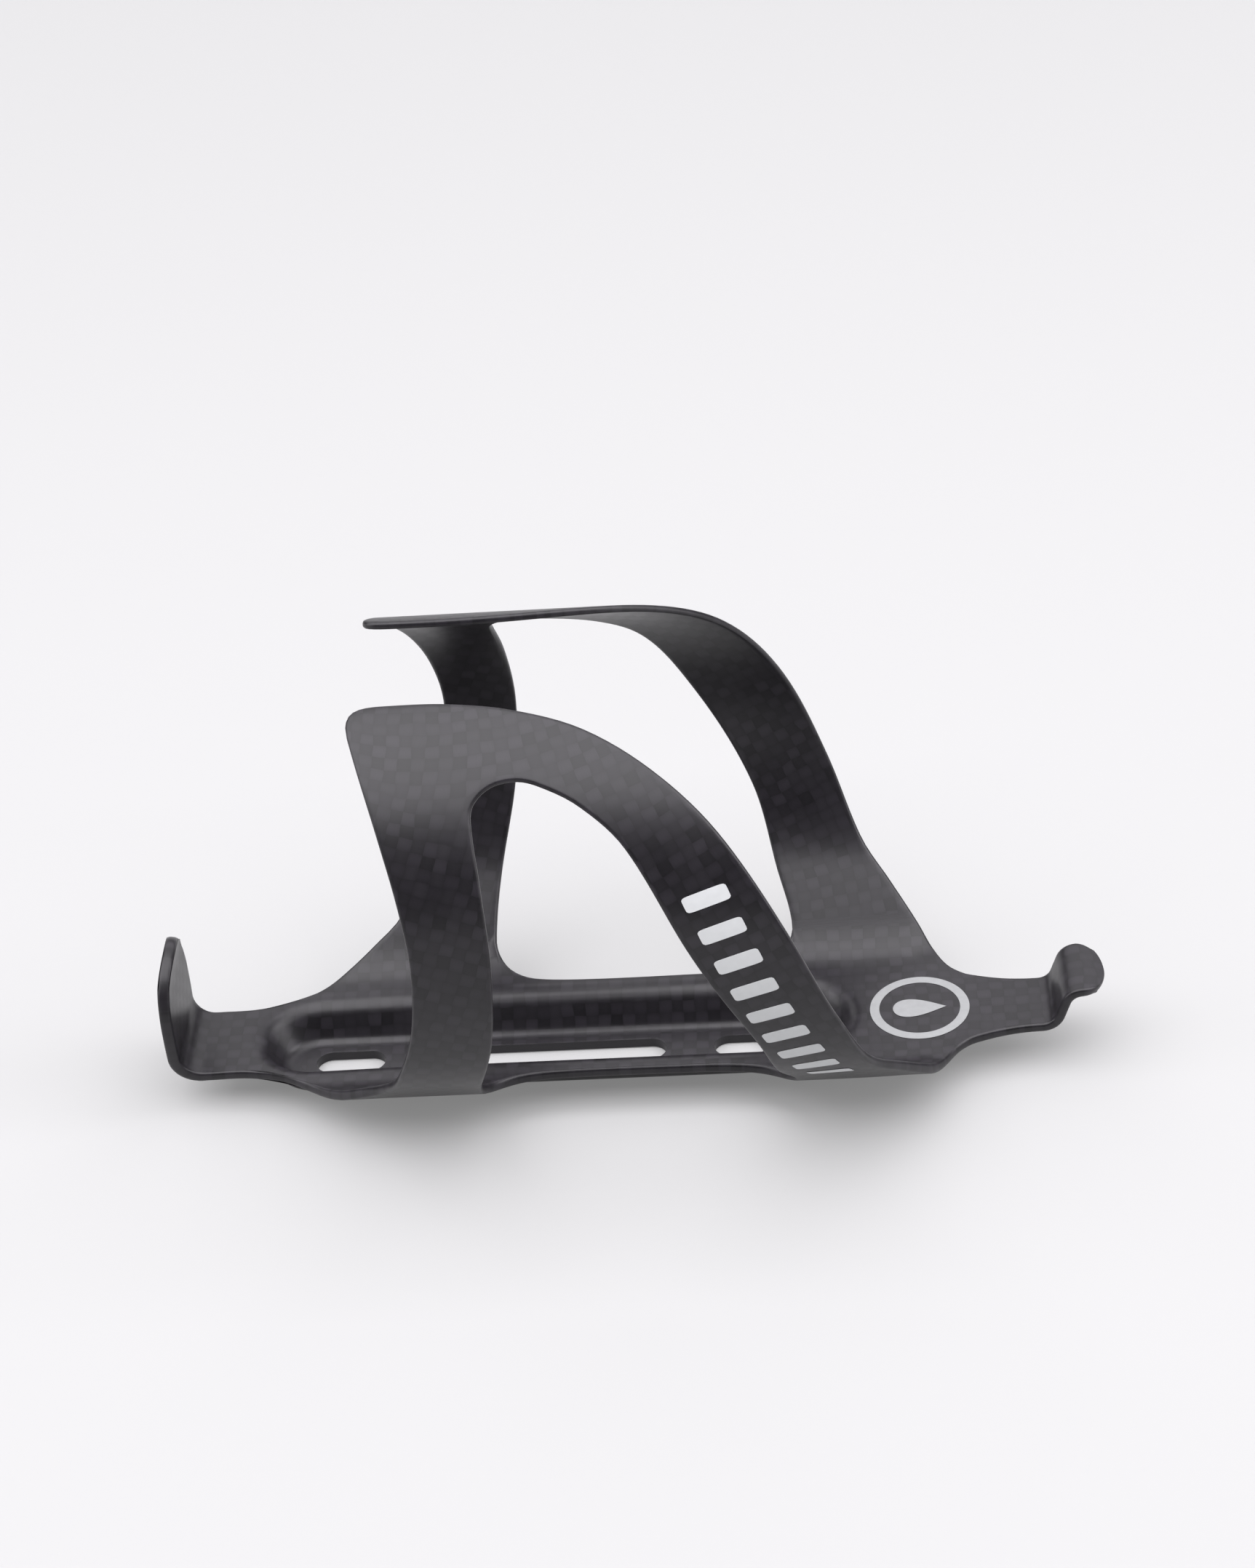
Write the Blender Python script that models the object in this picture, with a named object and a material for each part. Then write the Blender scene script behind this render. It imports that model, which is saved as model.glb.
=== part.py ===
"""Water bottle cage for a bicycle, a single carbon-fibre moulding with printed marks.

The cage lies on its back: +X runs along the bottle towards its neck, +Y is the left
side and +Z points away from the bicycle frame. Z = 0 is the underside of the channel
that seats on the frame. Lengths are in metres.
"""

import math

import bmesh
import bpy
from mathutils import Matrix, Vector

MM = 0.001

# Section across the cage: flat back plate, fillet, straight flank, then a round wing.
AXIS_HEIGHT = 44.4 * MM
WING_RADIUS = 36.6 * MM
WING_SQUEEZE = 1.55 * MM
FOOT_FULLNESS = 0.9 * MM
PLATE_HEIGHT = 6.65 * MM
FILLET_RADIUS = 11.0 * MM
FLANK_ANGLE = math.radians(45)

PLATE_THICKNESS = 1.6 * MM
WING_THICKNESS = 1.15 * MM
EDGE_ROUNDING = 0.35 * MM
JOINT_GAP = 0.3 * MM
SPLIT_RUN = 20.0 * MM
HINGE_SIDE = 18.95 * MM
HINGE_HEIGHT = 10.32 * MM

CHANNEL_FLOOR = 0.8 * MM
CHANNEL_HALF_WIDTH = 7.26 * MM
CHANNEL_FIRST = -51.6 * MM
CHANNEL_STOP_END_STRETCH = 1.15
CHANNEL_LAST = 26.4 * MM
CHANNEL_BEND = 2.8 * MM
CHANNEL_WALL_ANGLE = math.radians(62)

SLOT_HALF_WIDTH = 2.55 * MM
SLOTS = {
    "lower": (-52.8 * MM, -41.4 * MM),
    "middle": (-30.3 * MM, 4.7 * MM),
    "upper": (12.5 * MM, 21.3 * MM),
}

STOP_START = -69.2 * MM
STOP_BASE_HALF_WIDTH = 8.2 * MM
STOP_HALF_WIDTH = 9.1 * MM
STOP_THICKNESS = 1.9 * MM
HOOK_START = 55.8 * MM
HOOK_HALF_WIDTH = 6.3 * MM
HOOK_THICKNESS = 1.5 * MM

# The plate droops towards the stop and rises towards the hook, by these slopes.
STOP_DROOP_START = -40.0 * MM
STOP_DROOP = 0.018
HOOK_RISE_START = 37.0 * MM
HOOK_RISE = 0.0225

BADGE_CENTRE = 46.0 * MM
BADGE_RADIUS = 8.0 * MM
BADGE_STROKE = 1.5 * MM
PRINT_GAP = 0.05 * MM
PRINT_THICKNESS = 0.12 * MM
MARKS_PER_ARM = 9

# Edges as (distance along X, distance over the surface from the centre line), in mm.
LEG_OUTER = (
    (-44.0, 20.3),
    (-39.6, 24.6),
    (-34.1, 37.8),
    (-30.7, 50.1),
    (-29.4, 62.7),
    (-30.5, 72.8),
    (-32.8, 83.0),
    (-36.4, 96.4),
    (-37.4, 101.1),
)
TIP_OUTER = (
    (-37.4, 101.1),
    (-36.8, 103.4),
    (-34.9, 104.5),
    (-30.5, 104.8),
    (-22.5, 104.6),
    (-13.1, 103.0),
)
ARM_OUTER = (
    (-13.1, 103.0),
    (-2.5, 99.0),
    (7.9, 91.4),
    (17.1, 81.4),
    (26.2, 65.8),
    (33.1, 48.8),
    (38.0, 34.9),
    (42.3, 27.6),
    (46.5, 20.3),
)
LEG_INNER = (
    (-23.3, 20.3),
    (-22.1, 31.8),
    (-18.8, 47.4),
    (-17.5, 62.4),
    (-18.1, 75.2),
    (-18.9, 83.3),
)
CROTCH = (
    (-18.9, 83.3),
    (-18.7, 87.1),
    (-16.2, 89.9),
    (-12.4, 90.8),
    (-9.2, 90.0),
)
ARM_INNER = (
    (-9.2, 90.0),
    (-3.3, 86.6),
    (3.3, 79.8),
    (11.2, 64.1),
    (20.4, 44.6),
    (23.7, 30.7),
    (25.9, 20.3),
)
SPINE_LOWER_EDGE = (
    (-69.2, 8.2),
    (-62.7, 8.3),
    (-56.7, 9.8),
    (-52.2, 12.6),
    (-47.7, 16.8),
    (-44.3, 20.0),
)
SPINE_WINDOW_EDGE = (
    (-23.3, 20.0),
    (-22.6, 17.2),
    (-20.5, 14.5),
    (-16.9, 12.7),
    (-9.0, 12.1),
    (7.0, 12.1),
    (15.5, 12.3),
    (20.7, 13.4),
    (24.2, 16.1),
    (25.9, 20.0),
)
SPINE_UPPER_EDGE = (
    (46.7, 20.0),
    (48.9, 15.2),
    (51.4, 10.8),
    (53.8, 8.6),
    (55.8, 7.8),
)


def clear_scene():
    for item in list(bpy.data.objects):
        bpy.data.objects.remove(item, do_unlink=True)


def make_material(name, colour, roughness, metallic=0.0):
    material = bpy.data.materials.new(name)
    material.use_nodes = True
    shader = material.node_tree.nodes["Principled BSDF"]
    shader.inputs["Base Color"].default_value = (*colour, 1.0)
    shader.inputs["Roughness"].default_value = roughness
    shader.inputs["Metallic"].default_value = metallic
    return material


def smooth_share(share):
    """Ease from 0 to 1 with no corner at either end."""
    share = min(max(share, 0.0), 1.0)
    return share * share * (3 - 2 * share)


def plate_rise(along):
    """How far the plate lies above its height at the middle of the cage."""
    droop = STOP_DROOP * max(STOP_DROOP_START - along, 0.0)
    return HOOK_RISE * max(along - HOOK_RISE_START, 0.0) - droop


def section(run):
    """Height and side distance of the shell, and its tilt, a given run from the centre."""
    foot_radius = WING_RADIUS + FOOT_FULLNESS
    corner = foot_radius * math.sin(FLANK_ANGLE)
    flank_top = AXIS_HEIGHT - foot_radius * math.cos(FLANK_ANGLE)
    crossing = corner - (flank_top - PLATE_HEIGHT) / math.tan(FLANK_ANGLE)
    flat = crossing - FILLET_RADIUS * math.tan(FLANK_ANGLE / 2)
    fillet_end = flat + FILLET_RADIUS * FLANK_ANGLE
    fillet_side = flat + FILLET_RADIUS * math.sin(FLANK_ANGLE)
    flank_length = (corner - fillet_side) / math.cos(FLANK_ANGLE)
    if run <= flat:
        return run, PLATE_HEIGHT, 0.0
    if run <= fillet_end:
        tilt = (run - flat) / FILLET_RADIUS
        side = flat + FILLET_RADIUS * math.sin(tilt)
        return side, PLATE_HEIGHT + FILLET_RADIUS * (1 - math.cos(tilt)), tilt
    if run <= fillet_end + flank_length:
        step = run - fillet_end
        side = fillet_side + step * math.cos(FLANK_ANGLE)
        rise = FILLET_RADIUS * (1 - math.cos(FLANK_ANGLE))
        return side, PLATE_HEIGHT + rise + step * math.sin(FLANK_ANGLE), FLANK_ANGLE
    tilt = FLANK_ANGLE + (run - fillet_end - flank_length) / WING_RADIUS
    squeezed = smooth_share((tilt - math.radians(60)) / math.radians(100))
    fullness = smooth_share((math.radians(75) - tilt) / math.radians(30))
    radius = WING_RADIUS - WING_SQUEEZE * squeezed + FOOT_FULLNESS * fullness
    return radius * math.sin(tilt), AXIS_HEIGHT - radius * math.cos(tilt), tilt


def shell_point(along, run, outward=0.0):
    """Point of the shell; a negative run is the right side, outward leaves the bottle."""
    side, height, tilt = section(abs(run))
    side += outward * math.sin(tilt)
    height -= outward * math.cos(tilt)
    return Vector((along, math.copysign(side, run), height + plate_rise(along)))


def smooth_curve(points, count):
    """Evenly spaced points on a smooth curve through the given ones."""
    knots = [Vector(point) for point in points]
    knots = [2 * knots[0] - knots[1], *knots, 2 * knots[-1] - knots[-2]]
    fine = []
    for before, start, end, after in zip(knots, knots[1:], knots[2:], knots[3:]):
        reach = (end - start).length
        leave = reach * (end - before) / ((start - before).length + reach)
        arrive = reach * (after - start) / (reach + (after - end).length)
        for step in range(24):
            t = step / 24
            rise = t * t * (3 - 2 * t)
            bend = leave * t * (1 - t) ** 2 - arrive * t * t * (1 - t)
            fine.append(start + (end - start) * rise + bend)
    fine.append(knots[-2])
    lengths = [0.0]
    for first, second in zip(fine, fine[1:]):
        lengths.append(lengths[-1] + (second - first).length)
    result = []
    place = 0
    for index in range(count + 1):
        target = lengths[-1] * index / count
        while place < len(fine) - 2 and lengths[place + 1] < target:
            place += 1
        share = (target - lengths[place]) / (lengths[place + 1] - lengths[place])
        result.append(fine[place].lerp(fine[place + 1], share))
    return result


def link_object(name, mesh, material):
    item = bpy.data.objects.new(name, mesh)
    bpy.context.scene.collection.objects.link(item)
    mesh.materials.append(material)
    return item


def make_pivot(name, location):
    """An empty on a flexing piece's hinge axis."""
    pivot = bpy.data.objects.new(name, None)
    pivot.location = location
    pivot.empty_display_size = 5 * MM
    bpy.context.scene.collection.objects.link(pivot)
    return pivot


def hang_on_pivot(item, pivot):
    """Move the item's origin to the pivot, and parent it there."""
    item.data.transform(Matrix.Translation(-pivot.location))
    item.parent = pivot


def mesh_from_faces(name, points, faces):
    mesh = bpy.data.meshes.new(name)
    mesh.from_pydata(points, [], faces)
    bm = bmesh.new()
    bm.from_mesh(mesh)
    bmesh.ops.recalc_face_normals(bm, faces=bm.faces)
    bm.to_mesh(mesh)
    bm.free()
    return mesh


def thicken(item, thickness, shares=None, rounding=EDGE_ROUNDING):
    """Give a sheet its thickness and round its edges."""
    solid = item.modifiers.new("thickness", "SOLIDIFY")
    solid.thickness = thickness
    solid.offset = 0.0
    solid.use_even_offset = True
    if shares:
        group = item.vertex_groups.new(name="thickness_share")
        for index, share in enumerate(shares):
            group.add([index], share, "REPLACE")
        solid.vertex_group = group.name
    bevel = item.modifiers.new("edge_rounding", "BEVEL")
    bevel.width = rounding
    bevel.segments = 2
    bevel.limit_method = "ANGLE"
    bevel.angle_limit = math.radians(50)


def grid_faces(rows, columns):
    faces = []
    for row in range(rows - 1):
        for column in range(columns - 1):
            first = row * columns + column
            faces.append((first, first + 1, first + columns + 1, first + columns))
    return faces


def wing_rows():
    """Matching stations along a wing's outer and inner edges, in mm."""
    outer = smooth_curve(LEG_OUTER, 20)[:-1]
    outer += smooth_curve(TIP_OUTER, 10)[:-1]
    outer += smooth_curve(ARM_OUTER, 22)
    inner = smooth_curve(LEG_INNER, 20)[:-1]
    inner += smooth_curve(CROTCH, 10)[:-1]
    inner += smooth_curve(ARM_INNER, 22)
    return list(zip(outer, inner))


def build_wing(name, sign, material):
    """A leg and an arm that wrap round one side of the bottle and meet at the tip."""
    strips = 4
    points = []
    shares = []
    for outer, inner in wing_rows():
        for strip in range(strips + 1):
            along, run = outer.lerp(inner, strip / strips) * MM
            points.append(shell_point(along, sign * run))
            thinning = min(max((run - SPLIT_RUN) / (30 * MM), 0.0), 1.0)
            thickness = PLATE_THICKNESS + (WING_THICKNESS - PLATE_THICKNESS) * thinning
            shares.append(thickness / PLATE_THICKNESS)
    faces = grid_faces(len(points) // (strips + 1), strips + 1)
    item = link_object(name, mesh_from_faces(name, points, faces), material)
    thicken(item, PLATE_THICKNESS, shares)
    return item


def spine_edge():
    """The left half of the spine's edge, from the stop to the hook, in mm."""
    edge = smooth_curve(SPINE_LOWER_EDGE, 9)
    first = edge[-1]
    last = Vector(SPINE_WINDOW_EDGE[0])
    edge += [first.lerp(last, step / 5) for step in range(1, 5)]
    edge += smooth_curve(SPINE_WINDOW_EDGE, 16)
    first = edge[-1]
    last = Vector(SPINE_UPPER_EDGE[0])
    edge += [first.lerp(last, step / 5) for step in range(1, 5)]
    edge += smooth_curve(SPINE_UPPER_EDGE, 6)
    return edge


def channel_profile():
    """Wall of the channel as (distance outside its outline, height), lip to foot."""
    depth = PLATE_HEIGHT - CHANNEL_FLOOR
    bend_side = CHANNEL_BEND * math.sin(CHANNEL_WALL_ANGLE)
    bend_drop = CHANNEL_BEND * (1 - math.cos(CHANNEL_WALL_ANGLE))
    reach = bend_side + (depth / 2 - bend_drop) / math.tan(CHANNEL_WALL_ANGLE)
    profile = []
    for step in range(4):
        angle = CHANNEL_WALL_ANGLE * step / 3
        side = reach - CHANNEL_BEND * math.sin(angle)
        profile.append((side, PLATE_HEIGHT - CHANNEL_BEND * (1 - math.cos(angle))))
    middle = PLATE_HEIGHT - depth / 2
    profile += [(-side, 2 * middle - height) for side, height in reversed(profile)]
    return profile


def channel_direction(point):
    """Nearest point of the channel's centre line, and the way out from it.

    The end towards the bottom stop is drawn out a little longer than a half circle.
    """
    centre = Vector((min(max(point.x, CHANNEL_FIRST), CHANNEL_LAST), 0.0))
    stretch = CHANNEL_STOP_END_STRETCH if point.x < CHANNEL_FIRST else 1.0
    outward = point.xy - centre
    outward.x /= stretch
    outward.normalize()
    outward.x *= stretch
    return centre, outward


def spine_loops():
    """Closed loops from the spine's edge in to the foot of the channel's wall."""
    half = [point * MM for point in spine_edge()]
    start = [Vector((STOP_START, STOP_BASE_HALF_WIDTH * step / 3)) for step in range(3)]
    finish_width = half[-1].y
    finish = [Vector((HOOK_START, finish_width * step / 3)) for step in (2, 1, 0)]
    left = start + half + finish
    right = [Vector((point.x, -point.y)) for point in reversed(left[1:-1])]
    edge = left + right
    profile = channel_profile()
    loops = [[shell_point(point.x, point.y) for point in edge]]
    lip = []
    for point in loops[0]:
        centre, direction = channel_direction(point)
        lip.append(centre + direction * (CHANNEL_HALF_WIDTH + profile[0][0]))
    for share in (0.3, 0.6, 0.85):
        loop = []
        for outer, inner in zip(edge, lip):
            middle = outer.lerp(inner, share)
            loop.append(shell_point(middle.x, middle.y))
        loops.append(loop)
    for offset, height in profile:
        loop = []
        for point in loops[0]:
            centre, direction = channel_direction(point)
            spot = centre + direction * (CHANNEL_HALF_WIDTH + offset)
            share = (height - CHANNEL_FLOOR) / (PLATE_HEIGHT - CHANNEL_FLOOR)
            loop.append(Vector((spot.x, spot.y, height + share * plate_rise(spot.x))))
        loops.append(loop)
    return loops, len(left)


def build_spine(name, material):
    """The back plate: channel, root stubs for the wings, and plain ends."""
    loops, left_count = spine_loops()
    count = len(loops[0])
    points = [point for loop in loops for point in loop]
    faces = []
    for ring in range(len(loops) - 1):
        for index in range(count):
            following = (index + 1) % count
            base = ring * count
            upper = base + count
            faces.append((base + index, base + following, upper + following, upper + index))
    centre_index = {}
    base = (len(loops) - 1) * count
    for index in range(left_count):
        along = min(max(loops[-1][index].x, CHANNEL_FIRST), CHANNEL_LAST)
        key = round(along / MM, 4)
        if key not in centre_index:
            centre_index[key] = len(points)
            points.append(Vector((along, 0.0, CHANNEL_FLOOR)))
    for index in range(count):
        following = (index + 1) % count
        keys = []
        for corner in (index, following):
            along = min(max(loops[-1][corner].x, CHANNEL_FIRST), CHANNEL_LAST)
            keys.append(centre_index[round(along / MM, 4)])
        face = [base + index, base + following, keys[1]]
        if keys[0] != keys[1]:
            face.append(keys[0])
        faces.append(tuple(face))
    item = link_object(name, mesh_from_faces(name, points, faces), material)
    thicken(item, PLATE_THICKNESS)
    for slot, (first, last) in SLOTS.items():
        cut = item.modifiers.new(slot + "_slot", "BOOLEAN")
        cut.operation = "DIFFERENCE"
        cut.solver = "EXACT"
        cut.object = slot_cutter(slot, first, last, material)
    return item


def slot_cutter(slot, first, last, material):
    """A round-ended block that cuts one slot through the channel's floor."""
    outline = []
    for end, start_angle in ((last, -90), (first, 90)):
        centre = end - math.copysign(SLOT_HALF_WIDTH, end - first - MM)
        for step in range(9):
            angle = math.radians(start_angle + 22.5 * step)
            side = SLOT_HALF_WIDTH * math.sin(angle)
            outline.append((centre + SLOT_HALF_WIDTH * math.cos(angle), side))
    name = slot + "_slot_cutter"
    item = link_object(name, prism_mesh(name, outline, -1 * MM, 3 * MM), material)
    item.hide_render = True
    item.display_type = "WIRE"
    return item


def prism_mesh(name, outline, bottom, top):
    count = len(outline)
    points = [(along, side, bottom) for along, side in outline]
    points += [(along, side, top) for along, side in outline]
    faces = [tuple(range(count)), tuple(range(count, 2 * count))]
    for index in range(count):
        following = (index + 1) % count
        faces.append((index, following, following + count, index + count))
    return mesh_from_faces(name, points, faces)


def walk(start, heading, moves, spacing):
    """Points of a path of straights and arcs, each move being (length, turn)."""
    position = Vector(start)
    path = [position.copy()]
    for length, turn in moves:
        steps = max(2 if turn else 1, round(length / spacing))
        if turn:
            steps = max(steps, round(abs(turn) / math.radians(18)))
        chord = length / steps
        for _ in range(steps):
            heading += turn / steps / 2
            position += Vector((math.cos(heading), math.sin(heading))) * chord
            heading += turn / steps / 2
            path.append(position.copy())
    return path


def path_point(path, distance):
    for first, second in zip(path, path[1:]):
        length = (second - first).length
        if distance <= length:
            return first.lerp(second, distance / length)
        distance -= length
    return path[-1]


def build_tongue(name, path, width, tip, material, thickness):
    """A bent strip with a rounded tip: width is a function of the distance walked."""
    tip_length, tip_power = tip
    lengths = [0.0]
    for first, second in zip(path, path[1:]):
        lengths.append(lengths[-1] + (second - first).length)
    body_end = lengths[-1] - tip_length
    stations = [length for length in lengths if length < body_end - 0.4 * MM]
    columns = 10
    points = []
    for row in range(len(stations) + 6):
        for column in range(columns + 1):
            across = math.sin(math.pi * (column / columns - 0.5))
            cut = 1 - (1 - min(abs(across), 1.0) ** tip_power) ** (1 / tip_power)
            end = lengths[-1] - tip_length * cut
            if row < len(stations):
                distance = stations[row]
            else:
                share = (row - len(stations)) / 5
                distance = body_end + (end - body_end) * share
            spot = path_point(path, distance)
            side = across * width(distance)
            points.append(Vector((spot.x, side, spot.y)))
    rows = len(stations) + 6
    faces = grid_faces(rows, columns + 1)
    mesh = mesh_from_faces(name, points, faces)
    bm = bmesh.new()
    bm.from_mesh(mesh)
    bmesh.ops.remove_doubles(bm, verts=bm.verts, dist=0.00005)
    bm.to_mesh(mesh)
    bm.free()
    item = link_object(name, mesh, material)
    thicken(item, thickness)
    return item


def stop_width(distance):
    """The tab is a little wider half-way up than where it leaves the plate."""
    widening = (STOP_HALF_WIDTH - STOP_BASE_HALF_WIDTH) * smooth_share(distance / (11 * MM))
    return STOP_BASE_HALF_WIDTH + widening


def build_bottom_stop(name, material):
    """The upturned tab that the bottle's base rests against."""
    moves = (
        (0.3 * MM, 0.0),
        (6.75 * MM, -math.radians(91)),
        (10.5 * MM, 0.0),
        (6.0 * MM, -math.radians(18)),
    )
    start = (STOP_START - JOINT_GAP, PLATE_HEIGHT + plate_rise(STOP_START))
    path = walk(start, math.pi + STOP_DROOP, moves, 2.0 * MM)
    return build_tongue(name, path, stop_width, (11 * MM, 2.0), material, STOP_THICKNESS)


def hook_width(distance):
    """The neck narrows evenly until it reaches the bend."""
    share = min(distance / (9 * MM), 1.0)
    return 7.8 * MM + (HOOK_HALF_WIDTH - 7.8 * MM) * share * (2 - share)


def build_top_hook(name, material):
    """The neck, and the round paddle that springs into the bottle's neck groove."""
    moves = (
        (9.2 * MM, 0.0),
        (3.7 * MM, math.radians(70)),
        (2.9 * MM, 0.0),
        (3.7 * MM, -math.radians(78)),
        (3.6 * MM, -math.radians(16)),
    )
    start = (HOOK_START + JOINT_GAP, PLATE_HEIGHT + plate_rise(HOOK_START))
    path = walk(start, HOOK_RISE, moves, 2.0 * MM)
    return build_tongue(name, path, hook_width, (4.3 * MM, 2.0), material, HOOK_THICKNESS)


def mark_place(share):
    """Middle of the printed row on an arm, from the top of the row to its foot."""
    run = 72.0 - 41.0 * share
    return 14.7 + (72.0 - run) * 0.405, run


def build_mark(name, sign, index, material):
    """One slanted bar of the printed row, curved with the arm's outer face."""
    along, run = mark_place(index / (MARKS_PER_ARM - 1))
    across = Vector((6.6, 2.2)) * MM
    down = Vector((0.95, -2.35)) * MM
    corner = Vector((along, run)) * MM - across / 2 - down / 2
    points = []
    for layer in (0, 1):
        outward = WING_THICKNESS / 2 + PRINT_GAP + layer * PRINT_THICKNESS
        if run < 50:
            outward += (PLATE_THICKNESS - WING_THICKNESS) / 2 * (50 - run) / 30
        for row in range(4):
            for column in range(3):
                spot = corner + across * (row / 3) + down * (column / 2)
                points.append(shell_point(spot.x, sign * spot.y, outward))
    faces = grid_faces(4, 3)
    faces += [tuple(12 + corner for corner in face) for face in grid_faces(4, 3)]
    rim = (0, 1, 2, 5, 8, 11, 10, 9, 6, 3)
    for first, second in zip(rim, (*rim[1:], rim[0])):
        faces.append((first, second, second + 12, first + 12))
    return link_object(name, mesh_from_faces(name, points, faces), material)


def build_badge_ring(name, material):
    """The printed circle on the inner face above the channel."""
    bottom = PLATE_HEIGHT + PLATE_THICKNESS / 2 + PRINT_GAP
    count = 48
    radii = (BADGE_RADIUS, BADGE_RADIUS - BADGE_STROKE)
    points = []
    for step in range(count):
        angle = 2 * math.pi * step / count
        for radius in radii:
            for height in (bottom, bottom + PRINT_THICKNESS):
                along = BADGE_CENTRE + radius * math.cos(angle)
                rise = plate_rise(along)
                points.append((along, radius * math.sin(angle), height + rise))
    faces = []
    for step in range(count):
        base = 4 * step
        following = 4 * ((step + 1) % count)
        for first, second in ((0, 1), (1, 3), (3, 2), (2, 0)):
            faces.append((base + first, base + second, following + second, following + first))
    return link_object(name, mesh_from_faces(name, points, faces), material)


def build_badge_drop(name, material):
    """The water drop inside the circle, its point towards the hook."""
    bottom = PLATE_HEIGHT + PLATE_THICKNESS / 2 + PRINT_GAP
    outline = []
    for step in range(28):
        angle = 2 * math.pi * step / 28
        side = 3.1 * MM * math.sin(angle) * math.sin(angle / 2) ** 1.3
        outline.append((BADGE_CENTRE + 4.3 * MM * math.cos(angle), side))
    mesh = prism_mesh(name, outline, bottom, bottom + PRINT_THICKNESS)
    for vertex in mesh.vertices:
        vertex.co.z += plate_rise(vertex.co.x)
    return link_object(name, mesh, material)


def carbon_material(name, shade):
    """Clear-coated carbon cloth, near black."""
    return make_material(name, (shade, shade * 0.97, shade * 1.06), 0.42)


def print_material(name):
    """Pale grey ink."""
    return make_material(name, (0.80, 0.81, 0.83), 0.45)


def main():
    clear_scene()
    build_spine("spine", carbon_material("spine_carbon", 0.020))
    build_bottom_stop("bottom_stop", carbon_material("bottom_stop_carbon", 0.021))
    hook = build_top_hook("top_hook", carbon_material("top_hook_carbon", 0.019))
    hook_height = PLATE_HEIGHT + plate_rise(HOOK_START)
    pivot = make_pivot("top_hook_pivot", (HOOK_START + JOINT_GAP / 2, 0.0, hook_height))
    hang_on_pivot(hook, pivot)
    build_badge_ring("badge_ring", print_material("badge_ring_ink"))
    build_badge_drop("badge_drop", print_material("badge_drop_ink"))
    for side, sign in (("left", 1), ("right", -1)):
        pivot = make_pivot(side + "_wing_pivot", (0.0, sign * HINGE_SIDE, HINGE_HEIGHT))
        wing = side + "_wing"
        item = build_wing(wing, sign, carbon_material(wing + "_carbon", 0.020))
        hang_on_pivot(item, pivot)
        for index in range(MARKS_PER_ARM):
            name = side + "_mark_" + str(index + 1)
            item = build_mark(name, sign, index, print_material(name + "_ink"))
            hang_on_pivot(item, pivot)


main()
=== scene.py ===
"""Studio picture of the moulded carbon-fibre bottle cage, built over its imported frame.

One continuous shell is modelled over the frame's spine, stop, hook and wings, then cut
into a piece for each of them. Shapes are given in millimetres and made in metres.
"""

import math

import bpy
import numpy as np
from mathutils import Matrix, Vector


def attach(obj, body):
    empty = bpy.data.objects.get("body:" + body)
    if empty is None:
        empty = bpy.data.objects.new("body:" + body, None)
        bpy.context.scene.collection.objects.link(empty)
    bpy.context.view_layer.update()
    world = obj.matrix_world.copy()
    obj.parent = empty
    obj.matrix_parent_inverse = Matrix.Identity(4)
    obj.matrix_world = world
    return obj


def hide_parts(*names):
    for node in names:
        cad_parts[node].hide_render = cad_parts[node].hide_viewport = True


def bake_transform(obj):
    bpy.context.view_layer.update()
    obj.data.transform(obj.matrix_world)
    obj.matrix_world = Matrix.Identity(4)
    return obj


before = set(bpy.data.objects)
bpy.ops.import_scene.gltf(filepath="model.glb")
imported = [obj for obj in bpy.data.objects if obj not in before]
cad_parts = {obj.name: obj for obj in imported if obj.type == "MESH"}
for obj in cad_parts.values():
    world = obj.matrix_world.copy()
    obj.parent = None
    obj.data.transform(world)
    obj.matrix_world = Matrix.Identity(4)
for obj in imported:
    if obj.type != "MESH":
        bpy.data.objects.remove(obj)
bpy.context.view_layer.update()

MM = 0.001

# Section across the cage: flat plate, fillet, straight flank, then the round wing.
# The wing is fuller by FOOT_FULLNESS at its foot and tighter by WING_SQUEEZE higher up.
AXIS_HEIGHT = 44.4
WING_RADIUS = 36.6
WING_SQUEEZE = 1.55
SQUEEZE_START = math.radians(60)
SQUEEZE_SPAN = math.radians(100)
FOOT_FULLNESS = 0.9
FULLNESS_END = math.radians(75)
FULLNESS_SPAN = math.radians(30)
PLATE_HEIGHT = 6.65
FILLET_RADIUS = 11.0
FLANK = math.radians(45)
PLATE_THICKNESS = 1.6
WING_THICKNESS = 1.15
EDGE_ROUNDING = 0.5
EDGE_POWER = 2 / 2.5
EDGE_STEPS = 7
SHARP_ANGLE = math.radians(50)
# Wings are cut from the spine at SPLIT_RUN, and thin down over THINNING_RUN past it.
SPLIT_RUN = 20.0
THINNING_RUN = 30

CHANNEL_FLOOR = 0.8
CHANNEL_HALF_WIDTH = 7.26
CHANNEL_FIRST = -51.6
CHANNEL_STOP_END_STRETCH = 1.15
CHANNEL_LAST = 26.4
CHANNEL_BEND = 2.8
CHANNEL_WALL = math.radians(62)
SLOT_HALF_WIDTH = 2.55
SLOTS = ((-52.8, -41.4), (-30.3, 4.7), (12.5, 21.3))
SLOT_CUT_HEIGHTS = (-2, 3)
SLOT_END_STEPS = 24
SLOT_EDGE_BEVEL = 0.22
SLOT_EDGE_ANGLE = math.radians(65)

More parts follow.
